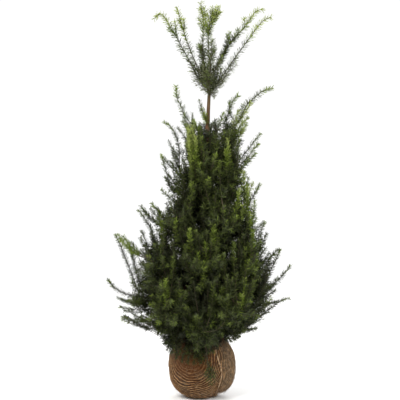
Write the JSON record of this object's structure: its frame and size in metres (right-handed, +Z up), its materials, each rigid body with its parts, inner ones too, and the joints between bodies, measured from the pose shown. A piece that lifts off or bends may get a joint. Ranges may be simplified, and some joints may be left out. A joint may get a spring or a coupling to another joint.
{
  "type": "english yew on its root ball",
  "caption": "Young conical yew tree with a bare-necked, fan-topped leader, lifted with its root ball wrapped in hessian and tied with a cord.",
  "frame": {"origin": "on the ground, on the flat foot that the wrapped root ball stands on, straight below the trunk's foot", "axes": "+Z up along the trunk, +X to the right and -Y towards the viewer when the tree is seen from the front"},
  "size_m": [0.833, 0.7376, 1.7775],
  "materials": {
    "yew_needles": "dark glossy green needles with fresh light green tips",
    "red_brown_bark": "thin scaly red-brown bark",
    "hessian": "coarse brown hessian with drawn ridges",
    "soil": "moist dark soil",
    "jute_cord": "pale twisted jute"
  },
  "bodies": {
    "root": {"binding_cord": "jute_cord", "bough_low_1": "red_brown_bark", "bough_low_2": "red_brown_bark", "bough_low_3": "red_brown_bark", "bough_low_4": "red_brown_bark", "bough_low_5": "red_brown_bark", "bough_low_6": "red_brown_bark", "bough_middle_1": "red_brown_bark", "bough_middle_2": "red_brown_bark", "bough_middle_3": "red_brown_bark", "bough_middle_4": "red_brown_bark", "bough_middle_5": "red_brown_bark", "bough_middle_6": "red_brown_bark", "bough_skirt_1": "red_brown_bark", "bough_skirt_2": "red_brown_bark", "bough_skirt_3": "red_brown_bark", "bough_skirt_4": "red_brown_bark", "bough_skirt_5": "red_brown_bark", "hessian_wrap": "hessian", "mass_high_1": "yew_needles", "mass_high_2": "yew_needles", "mass_high_3": "yew_needles", "mass_high_4": "yew_needles", "mass_high_5": "yew_needles", "mass_leader_back": "yew_needles", "mass_leader_far_left": "yew_needles", "mass_leader_far_right": "yew_needles", "mass_leader_front": "yew_needles", "mass_leader_left": "yew_needles", "mass_leader_middle": "yew_needles", "mass_leader_right": "yew_needles", "mass_leader_tall": "yew_needles", "mass_low_1": "yew_needles", "mass_low_2": "yew_needles", "mass_low_3": "yew_needles", "mass_low_4": "yew_needles", "mass_low_5": "yew_needles", "mass_low_6": "yew_needles", "mass_middle_1": "yew_needles", "mass_middle_2": "yew_needles", "mass_middle_3": "yew_needles", "mass_middle_4": "yew_needles", "mass_middle_5": "yew_needles", "mass_middle_6": "yew_needles", "mass_shoulder_1": "yew_needles", "mass_shoulder_2": "yew_needles", "mass_shoulder_3": "yew_needles", "mass_shoulder_4": "yew_needles", "mass_skirt_1": "yew_needles", "mass_skirt_2": "yew_needles", "mass_skirt_3": "yew_needles", "mass_skirt_4": "yew_needles", "mass_skirt_5": "yew_needles", "mass_upper_1": "yew_needles", "mass_upper_2": "yew_needles", "mass_upper_3": "yew_needles", "mass_upper_4": "yew_needles", "mass_upper_5": "yew_needles", "soil_ball": "soil", "trunk": "red_brown_bark"}
  },
  "joints": []
}
